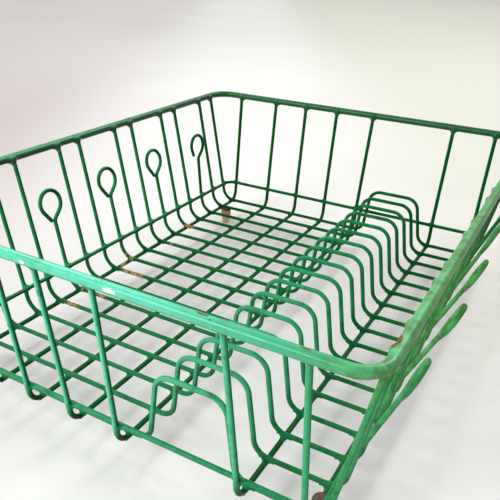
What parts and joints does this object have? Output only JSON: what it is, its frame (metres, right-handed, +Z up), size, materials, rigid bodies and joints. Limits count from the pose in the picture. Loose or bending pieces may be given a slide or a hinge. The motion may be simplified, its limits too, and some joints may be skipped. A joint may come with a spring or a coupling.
{
  "type": "dish drying rack",
  "caption": "Rectangular coated-wire dish rack with a row of plate arches, open loops in the side walls, a heavy rim and small moulded feet.",
  "frame": {"origin": "on the table under the middle of the rack's box", "axes": "+Z up, +Y to the back along the long side, +X to the right, the side nearer the plate arches"},
  "size_m": [0.3836, 0.471, 0.1515],
  "materials": {
    "green_coating": "satin to glossy green plastic coating, chipped to rusty wire in places",
    "foot_plastic": "matte tan moulded plastic, aged"
  },
  "bodies": {
    "root": {"foot_back_left": "foot_plastic", "foot_back_right": "foot_plastic", "foot_front_left": "foot_plastic", "foot_front_right": "foot_plastic", "loop_wire_03": "green_coating", "loop_wire_06": "green_coating", "loop_wire_09": "green_coating", "loop_wire_12": "green_coating", "loop_wire_15": "green_coating", "lower_ring": "green_coating", "plate_wire_01": "green_coating", "plate_wire_02": "green_coating", "plate_wire_04": "green_coating", "plate_wire_05": "green_coating", "plate_wire_07": "green_coating", "plate_wire_08": "green_coating", "plate_wire_10": "green_coating", "plate_wire_11": "green_coating", "plate_wire_13": "green_coating", "plate_wire_14": "green_coating", "plate_wire_16": "green_coating", "plate_wire_17": "green_coating", "rim": "green_coating", "runner_1": "green_coating", "runner_2": "green_coating", "runner_3": "green_coating", "runner_4": "green_coating", "runner_5": "green_coating", "runner_6": "green_coating", "runner_7": "green_coating"}
  },
  "joints": []
}
